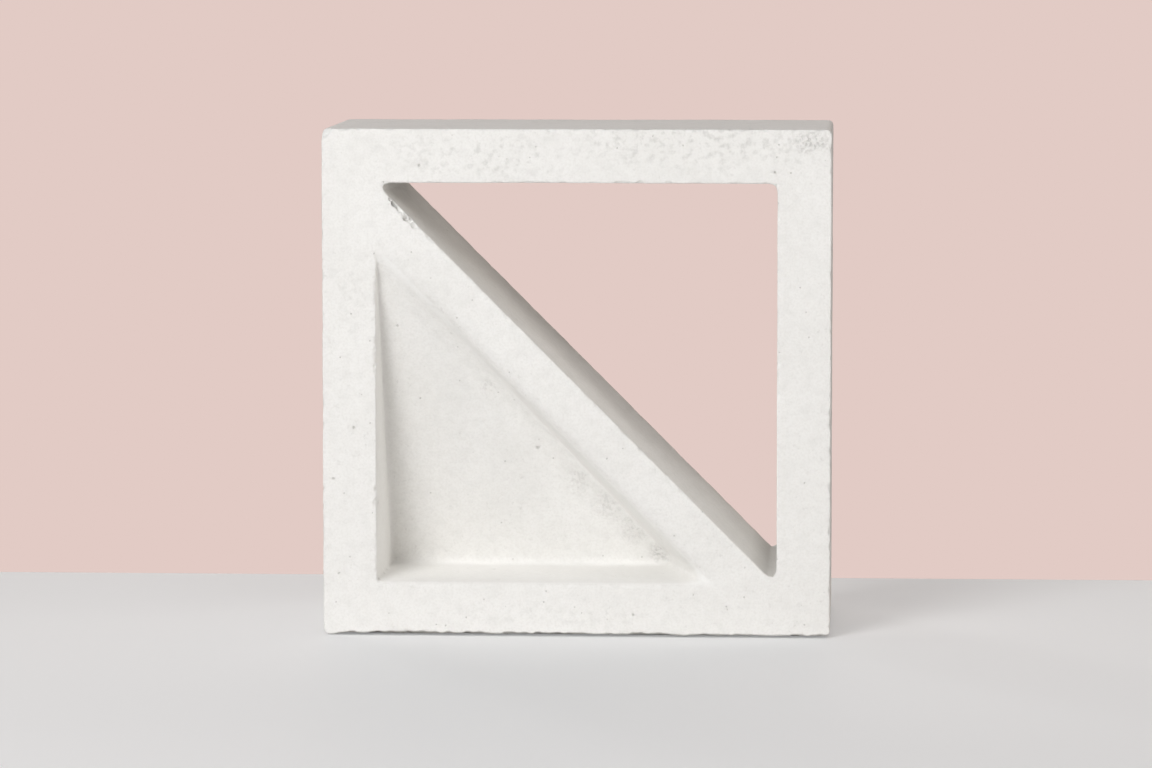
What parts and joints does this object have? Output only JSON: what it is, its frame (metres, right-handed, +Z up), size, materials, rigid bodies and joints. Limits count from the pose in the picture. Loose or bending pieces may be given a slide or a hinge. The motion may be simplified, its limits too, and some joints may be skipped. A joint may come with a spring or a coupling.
{
  "type": "decorative screen block",
  "caption": "Square cast concrete screen block with a diagonal bar, a triangular opening right through it and a triangular recess with a sloping floor in its front face.",
  "frame": {"origin": "middle of the bed face that the block stands on", "axes": "+Z up, front face with the recess towards -Y, +X to the right seen from the front"},
  "size_m": [0.19, 0.09, 0.19],
  "materials": {
    "cast_concrete": "off-white cast concrete, fine sandy grain with pinholes and softly chipped arrises"
  },
  "bodies": {
    "root": {"screen_block": "cast_concrete"}
  },
  "joints": []
}
